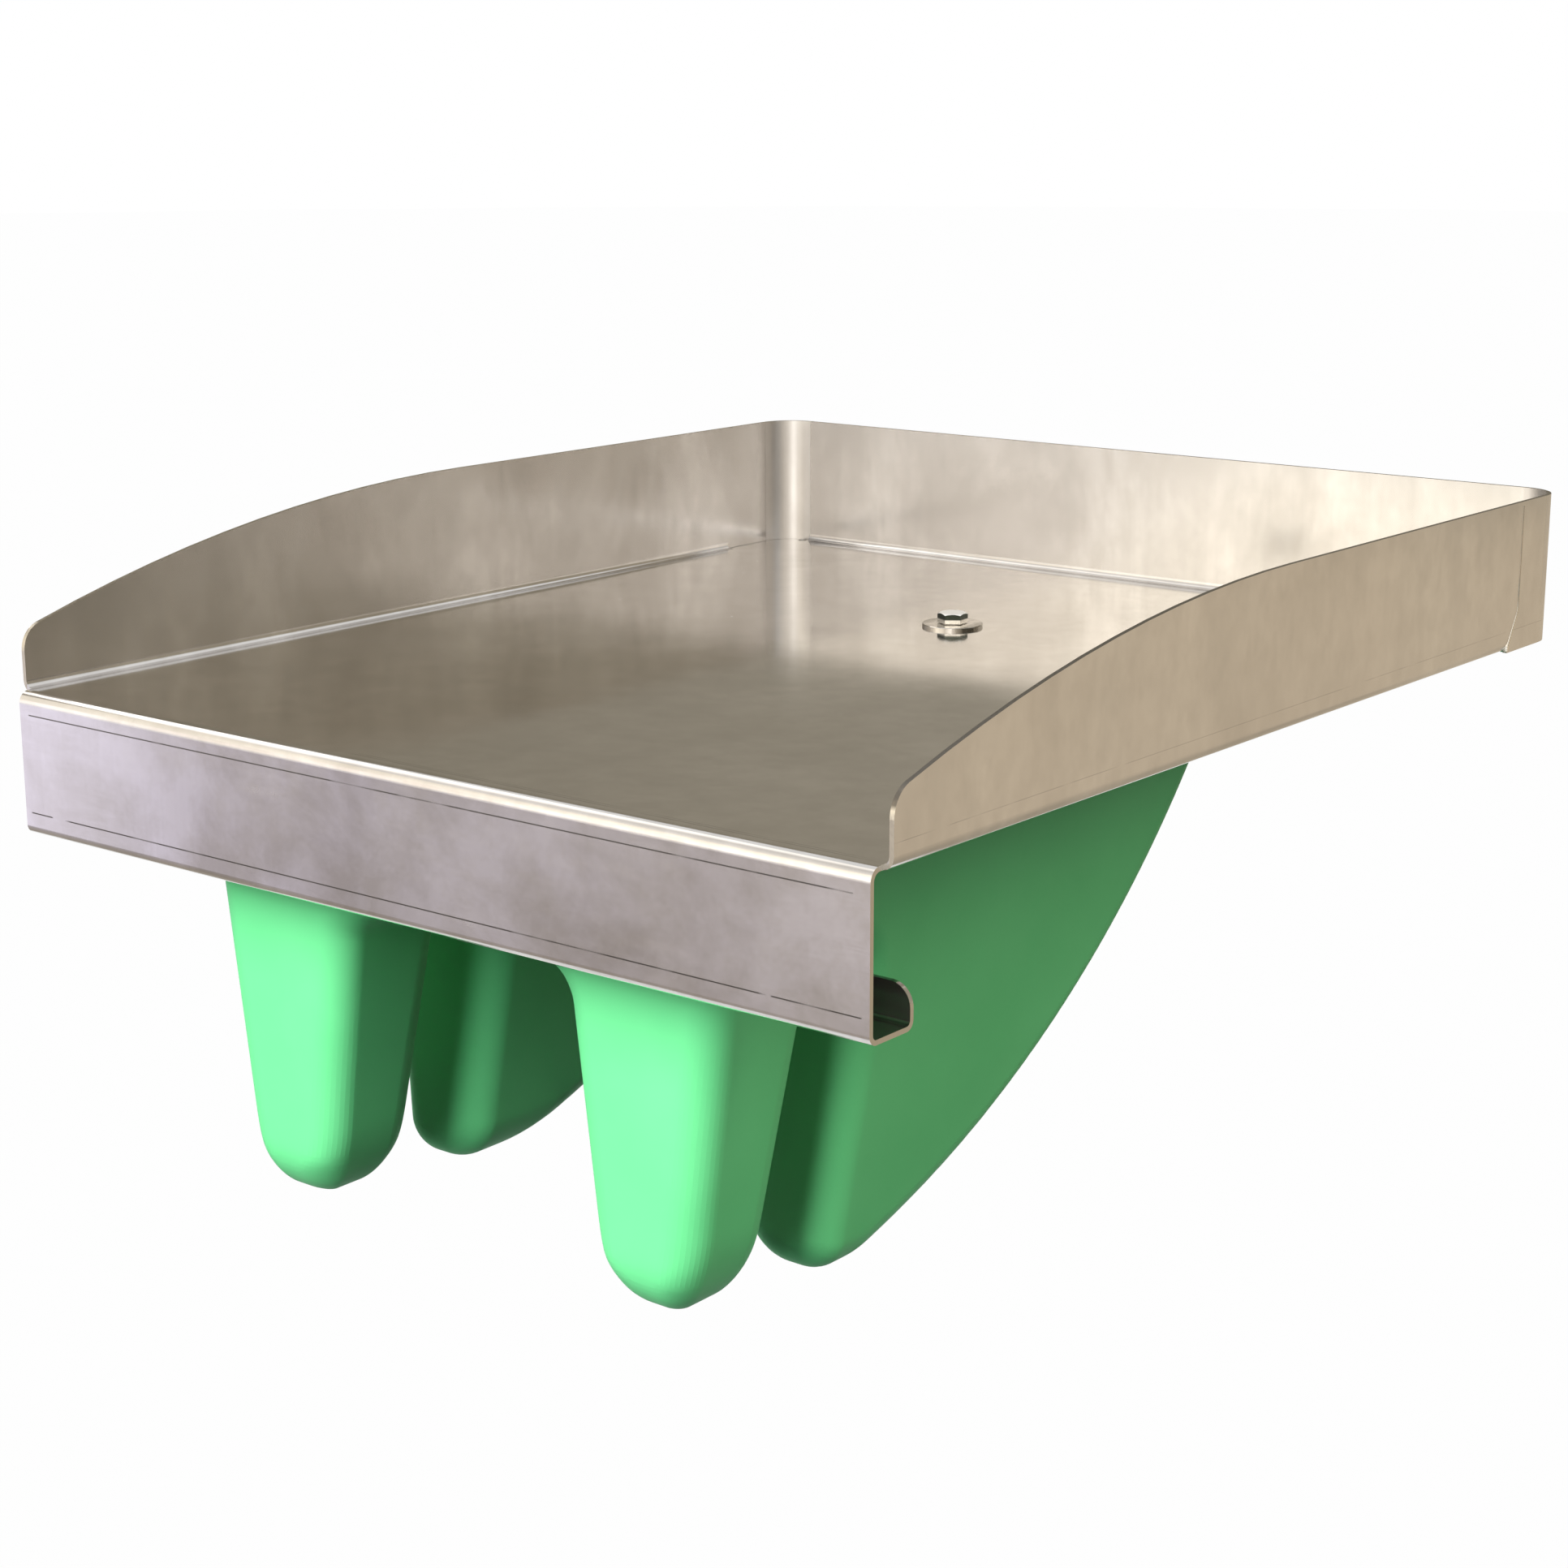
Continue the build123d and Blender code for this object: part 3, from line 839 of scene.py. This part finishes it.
# ---------------------------------------------------------------------------
# Saddle: one hollow rotational moulding in polyethylene, coloured through.
# Its skin is satin, with the faint ripple that the mould's wall leaves, and
# its front legs end in domes.
# ---------------------------------------------------------------------------
# Its tone drifts over 70 mm, scuffs are 12 mm apart, the ripple is 45 mm from
# crest to crest, and the skin's orange peel 2.2 mm.
polyethylene, tree = new_material("green_rotomoulded_polyethylene")
place = add_node(tree, "ShaderNodeTexCoord").outputs["Object"]
mottle = blotches(tree, place, 0.07, 0.35, 0.65, 3.0)
scuff = blotches(tree, place, 0.012, 0.5, 0.75, 4.0, 0.65)
plastic = add_node(
    tree,
    "ShaderNodeBsdfPrincipled",
    {
        "Base Color": coats(tree, "66D28C", ("6BD791", mottle)),
        "Roughness": roughened(tree, 0.52, (scuff, 0.08)),
        "IOR": 1.5,
        "Specular IOR Level": 0.14,
        "Normal": relief(
            tree,
            (blotches(tree, place, 0.045, detail=1.0, roughness=0.4), 0.0004),
            (blotches(tree, place, 0.0022), 0.000035),
        ),
    },
)
add_node(tree, "ShaderNodeOutputMaterial", {"Surface": plastic})

# The mesh is cut into level layers over the feet, closer together towards the
# sole, and each layer is drawn in from all sides.
SADDLE_LOW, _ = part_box("saddle_moulding")
LEG_SOLE = SADDLE_LOW[2] + 0.0098
LEG_BACK = SADDLE_LOW[1] + 0.060
DOME = 0.038
DOME_POWER = 2.5
DOME_ENDWAYS = 0.026
DOME_ENDWAYS_POWER = 2.2
LAYERS = 20
SAME_PLACE = 0.00001  # points nearer than this are one
HAIR = 0.000001  # slack when heights are compared
shape = bmesh.new()
shape.from_mesh(nodes["saddle_moulding"].data)
bmesh.ops.remove_doubles(shape, verts=shape.verts, dist=SAME_PLACE)
layers = [
    LEG_SOLE + DOME * (1 - math.cos(math.radians(90 * step / LAYERS)))
    for step in range(1, LAYERS + 1)
]
for height in layers:
    near = [
        face
        for face in shape.faces
        if face.calc_center_median().y < LEG_BACK + 0.01
        and min(v.co.z for v in face.verts) < height < max(v.co.z for v in face.verts)
    ]
    edging = {part for face in near for part in (*face.verts, *face.edges)}
    bmesh.ops.bisect_plane(
        shape,
        geom=near + list(edging),
        plane_co=(0.0, 0.0, height),
        plane_no=(0.0, 0.0, 1.0),
        dist=HAIR,
    )


def leg_spread(hand, height, axis):
    """A leg's least and greatest place on an axis, at one layer."""
    places = [
        point.co[axis]
        for point in shape.verts
        if abs(point.co.z - height) < SAME_PLACE
        and point.co.y < LEG_BACK
        and point.co.x * hand > 0
    ]
    return min(places), max(places)


def dome_moves(hand, axis, dome, power):
    """For each layer: a leg's middle, and how much each side is drawn in."""
    ends = [leg_spread(hand, height, axis) for height in layers]
    # The leg's straight taper above the dome is carried on down to the sole.
    full = next(i for i, height in enumerate(layers) if height >= LEG_SOLE + dome * 0.999)
    full = min(full, len(layers) - 2)
    span = layers[-1] - layers[full]
    lean = [(high - low) / span for low, high in zip(ends[full], ends[-1])]
    moves = []
    for height, (low, high) in zip(layers, ends):
        straight = [end + slope * (height - layers[-1]) for end, slope in zip(ends[-1], lean)]
        middle = sum(straight) / 2
        rise = min(1.0, (height - LEG_SOLE) / dome)
        half = (straight[1] - straight[0]) / 2 * (1 - (1 - rise) ** power) ** (1 / power)
        moves.append((height, middle, half / (middle - low), half / (high - middle)))
    return moves


def drawn_in(value, height, moves):
    """Where a value goes, between the layers below and above its height."""
    index = next(i for i, move in enumerate(moves) if move[0] >= height - HAIR)
    low, high = moves[max(0, index - 1)], moves[index]
    share = 0.0 if high[0] == low[0] else max(0.0, (height - low[0]) / (high[0] - low[0]))
    middle, before, after = (a + (b - a) * share for a, b in zip(low[1:], high[1:]))
    return middle + (value - middle) * (before if value < middle else after)


for hand in (-1, 1):
    sideways = dome_moves(hand, 0, DOME, DOME_POWER)
    endways = dome_moves(hand, 1, DOME_ENDWAYS, DOME_ENDWAYS_POWER)
    for point in shape.verts:
        x, y, z = point.co
        if x * hand > 0 and y < LEG_BACK and z < layers[-1]:
            point.co.x = drawn_in(x, z, sideways)
            point.co.y = drawn_in(y, z, endways)
bmesh.ops.triangulate(shape, faces=shape.faces)
rounded = bpy.data.meshes.new("saddle_moulding_rounded")
shape.to_mesh(rounded)
shape.free()
rounded.materials.clear()
rounded.materials.append(polyethylene)
rounded.shade_smooth()
whole = bpy.data.objects.new("saddle_moulding_rounded", rounded)
bpy.context.collection.objects.link(whole)
even = whole.modifiers.new("even_normals", "WEIGHTED_NORMAL")
even.mode = "FACE_AREA"
even.weight = 90
saddle = made_plain(whole, "saddle_moulding_rounded")
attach(saddle, "root")
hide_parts("saddle_moulding")

# ---------------------------------------------------------------------------
# Threaded insert: brass turned from bar, warm and bright, moulded in the deck.
# Its knurl's crossing grooves leave diamonds 1.25 mm wide.
# ---------------------------------------------------------------------------
BOLT_LOW, BOLT_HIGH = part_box("hex_bolt")
BOLT_Y = (BOLT_LOW[1] + BOLT_HIGH[1]) / 2
INSERT_RADIUS = 0.008
KNURL_GROOVES = 40
brass, tree = new_material("knurled_brass")
place = add_node(tree, "ShaderNodeTexCoord").outputs["Object"]
x, y, z = add_node(tree, "ShaderNodeSeparateXYZ", {0: place}).outputs
angle = chain(tree, "ARCTAN2", chain(tree, "SUBTRACT", y, BOLT_Y), x)
grooves = []
for hand in (1, -1):
    groove = chain(
        tree,
        "ADD",
        chain(tree, "MULTIPLY", angle, float(KNURL_GROOVES)),
        chain(tree, "MULTIPLY", z, hand * KNURL_GROOVES / INSERT_RADIUS),
    )
    grooves.append(add_node(tree, "ShaderNodeMath", {0: groove}, operation="SINE"))
metal = add_node(
    tree,
    "ShaderNodeBsdfPrincipled",
    {
        "Base Color": coats(
            tree, "D2B070", ("BD9653", blotches(tree, place, 0.005, 0.4, 0.65))
        ),
        "Metallic": 1.0,
        "Roughness": 0.27,
        "Normal": relief(tree, (chain(tree, "MULTIPLY", *grooves), 0.0003)),
    },
)
add_node(tree, "ShaderNodeOutputMaterial", {"Surface": metal})
give_finish("threaded_insert", brass)

# ---------------------------------------------------------------------------
# Penny washer: stamped from bright stainless strip, so its rim is rolled over
# on top.  Barrel polishing left it bright, with fine nicks 1.2 mm apart; its
# left and right sides are painted darker, a painted shade.
# ---------------------------------------------------------------------------
polished, tree = new_material("barrel_polished_stainless")
place = add_node(tree, "ShaderNodeTexCoord").outputs["Object"]
haze = blotches(tree, place, 0.0035, 0.35, 0.7, 3.0, 0.6)
# Painted shade: the washer's left and right sides are darkened.
offset = add_node(tree, "ShaderNodeSeparateXYZ", {0: place})
offset = add_node(tree, "ShaderNodeMath", {0: offset}, operation="ABSOLUTE")
shaded_sides = add_node(
    tree, "ShaderNodeMapRange", {"Value": offset, "From Min": 0.008, "From Max": 0.012}
)
metal = add_node(
    tree,
    "ShaderNodeBsdfPrincipled",
    {
        "Base Color": coats(tree, "CBC7C1", ("B5B0A9", haze), ("8A857B", shaded_sides)),
        "Metallic": 1.0,
        "Roughness": add_node(
            tree, "ShaderNodeMapRange", {"Value": haze, "To Min": 0.10, "To Max": 0.2}
        ),
        "Normal": relief(
            tree, (blotches(tree, place, 0.0012, detail=3.0, roughness=0.7), 0.00003)
        ),
    },
)
add_node(tree, "ShaderNodeOutputMaterial", {"Surface": metal})
give_finish("penny_washer", polished)

# ---------------------------------------------------------------------------
# Hex bolt: M8 x 25, cold headed in stainless with a rolled thread.  The head's
# corners are turned off at thirty degrees, which arches the tops of its flats.
# ---------------------------------------------------------------------------
HEAD_FLATS = 0.013
HEAD_SEAT = FLOOR_TOP + 0.0015
HEAD_TOP = BOLT_HIGH[2]
HEAD_TURN = math.radians(35)
HEAD_BEVEL = math.tan(math.radians(30))
HEAD_FOOT = HEAD_SEAT + 0.0003
FACED_RADIUS = HEAD_FLATS / 2 * 0.95
BEARING_RADIUS = 0.0061
EDGE_BREAK = 0.00012
THREAD_RADIUS = 0.004
THREAD_PITCH = 0.00125
THREAD_DEPTH = 0.0007
THREAD_ROWS = 8  # rings to a turn of the thread
THREAD_END = HEAD_SEAT - 0.0016
BOLT_TIP = BOLT_LOW[2]
TIP_CHAMFER = 0.001
POLE = 0.0001  # radius of the small ring that closes each end
AROUND = 72
corners, panels = [], []


def ring(reach, height):
    """Adds a ring of points round the bolt's axis and joins it to the last one."""
    first = len(corners)
    for step in range(AROUND):
        turn = 2 * math.pi * step / AROUND
        radius = reach(turn) if callable(reach) else reach
        level = height(radius) if callable(height) else height
        corners.append((radius * math.cos(turn), BOLT_Y + radius * math.sin(turn), level))
    if first:
        for step in range(AROUND):
            after = (step + 1) % AROUND
            panels.append(
                (first - AROUND + step, first - AROUND + after, first + after, first + step)
            )


def to_flats(turn):
    """Reach of the hexagon's outline in one direction."""
    within = (turn - HEAD_TURN) % (math.pi / 3) - math.pi / 6
    return HEAD_FLATS / 2 / math.cos(within)


def thread_height(turn, height):
    """How far the rolled thread stands out, as a share of its depth."""
    place = (height / THREAD_PITCH - turn / (2 * math.pi)) % 1.0
    return min(1.0, max(0.0, 1.25 - 2.5 * abs(place - 0.5)))


ring(POLE, BOLT_TIP)
ring(THREAD_RADIUS - TIP_CHAMFER - 0.00005, BOLT_TIP)
rows = round((THREAD_END - BOLT_TIP) / THREAD_PITCH * THREAD_ROWS)
for row in range(1, rows + 1):
    rise = BOLT_TIP + (THREAD_END - BOLT_TIP) * row / rows
    depth = THREAD_DEPTH * min(1.0, (THREAD_END - rise) / 0.001)
    chamfer = max(0.0, TIP_CHAMFER - (rise - BOLT_TIP))
    ring(
        lambda turn: THREAD_RADIUS - max(depth * (1 - thread_height(turn, rise)), chamfer),
        rise,
    )
ring(THREAD_RADIUS, HEAD_SEAT)
ring(BEARING_RADIUS - 0.0001, HEAD_SEAT)
ring(BEARING_RADIUS, HEAD_FOOT)
ring(lambda turn: to_flats(turn) - EDGE_BREAK, HEAD_FOOT)
ring(to_flats, HEAD_FOOT + EDGE_BREAK)
ring(to_flats, lambda radius: HEAD_TOP - max(0.0, radius - FACED_RADIUS) * HEAD_BEVEL)
ring(FACED_RADIUS, HEAD_TOP)
ring(FACED_RADIUS - 0.0003, HEAD_TOP)
ring(POLE, HEAD_TOP)
panels.append(tuple(range(AROUND - 1, -1, -1)))
panels.append(tuple(range(len(corners) - AROUND, len(corners))))

headed, tree = new_material("cold_headed_stainless")
place = add_node(tree, "ShaderNodeTexCoord").outputs["Object"]
x, y, z = add_node(tree, "ShaderNodeSeparateXYZ", {0: place}).outputs
haze = blotches(tree, place, 0.003, 0.35, 0.7, 3.0, 0.6)
# Painted light: the flats' upper part is painted dark as painted shade, their lower part and the
# head's top are painted pale as painted highlights.
facing = add_node(tree, "ShaderNodeNewGeometry").outputs["Normal"]
across, along, up = add_node(tree, "ShaderNodeSeparateXYZ", {0: facing}).outputs
tilt = add_node(tree, "ShaderNodeMath", {0: up}, operation="ABSOLUTE")
flats = add_node(tree, "ShaderNodeMapRange", {"Value": tilt, "From Min": 0.3, "From Max": 0.15})
painted_top_highlight = add_node(tree, "ShaderNodeMapRange", {"Value": up, "From Min": 0.5, "From Max": 0.9})
upper_shade = add_node(
    tree,
    "ShaderNodeMapRange",
    {"Value": z, "From Min": HEAD_SEAT + 0.0018, "From Max": HEAD_SEAT + 0.0026},
)
lower_highlight = add_node(tree, "ShaderNodeMapRange", {"Value": upper_shade, "From Min": 1.0, "From Max": 0.0})
gloss = add_node(tree, "ShaderNodeMapRange", {"Value": haze, "To Min": 0.12, "To Max": 0.2})
metal = add_node(
    tree,
    "ShaderNodeBsdfPrincipled",
    {
        "Base Color": coats(
            tree,
            "C9C5BF",
            ("AFAAA3", haze),
            ("3A4038", flats, upper_shade),
            ("EDE9E0", flats, lower_highlight),
            ("FAF9F6", painted_top_highlight),
        ),
        "Metallic": 1.0,
        "Roughness": roughened(tree, gloss, (painted_top_highlight, 0.45)),
        "Normal": relief(tree, (blotches(tree, place, 0.0015, roughness=0.6), 0.00003)),
    },
)
add_node(tree, "ShaderNodeOutputMaterial", {"Surface": metal})
bolt = mesh_object("hex_bolt_threaded", corners, panels, headed)
for panel in bolt.data.polygons:
    panel.use_smooth = abs(panel.normal.z) < 0.2 and panel.center.z < HEAD_SEAT - 0.001
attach(bolt, "root")
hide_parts("hex_bolt")
